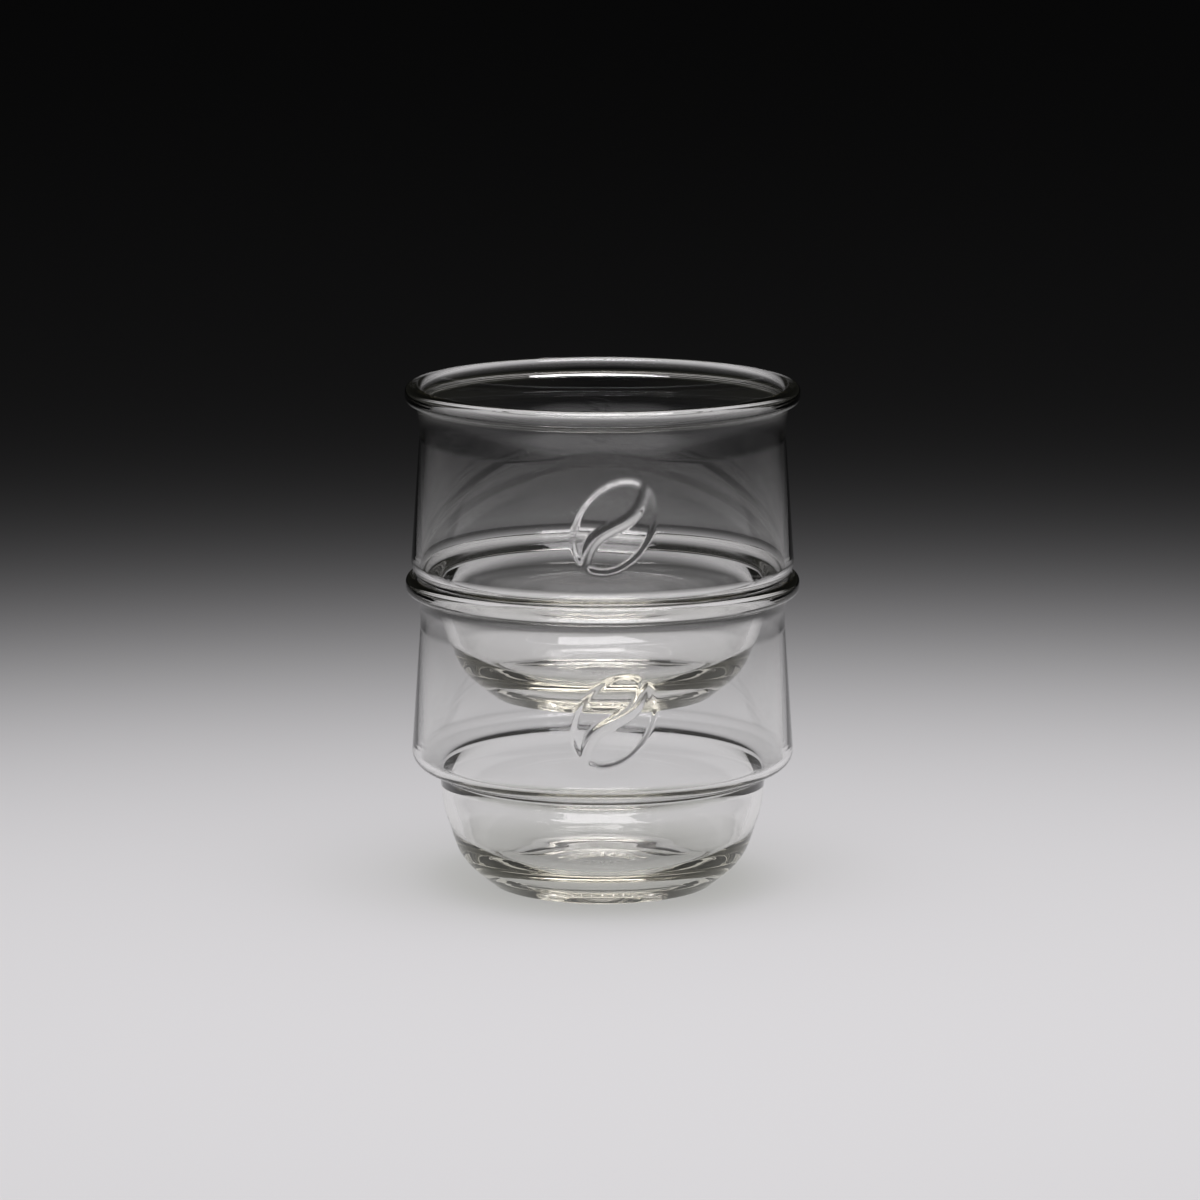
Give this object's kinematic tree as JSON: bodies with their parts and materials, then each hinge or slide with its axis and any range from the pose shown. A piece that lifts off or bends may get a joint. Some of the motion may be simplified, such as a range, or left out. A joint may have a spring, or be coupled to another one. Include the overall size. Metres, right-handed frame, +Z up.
{
  "type": "cortado glass",
  "caption": "Clear cortado glasses stacked one in the other: rolled rim, thin flared wall, stepped bowl that nests in the rim below, thick base and a raised coffee bean on the front.",
  "frame": {"origin": "centre of the lower glass's foot, on the surface that it stands on", "axes": "+Z up along the axis that both glasses turn about, raised motif towards -Y, +X to the right seen from the front"},
  "size_m": [0.076, 0.076, 0.0975],
  "materials": {
    "clear_glass": "fire-polished clear soda-lime glass with a faint olive tint in its thick parts"
  },
  "bodies": {
    "lower": {"lower_glass": "clear_glass"},
    "upper": {"upper_glass": "clear_glass"}
  },
  "joints": [
    {"name": "upper_glass_lift", "type": "slide", "parent": "lower", "child": "upper", "axis": [0, 0, 1], "range_m": [0, 0.04]}
  ]
}
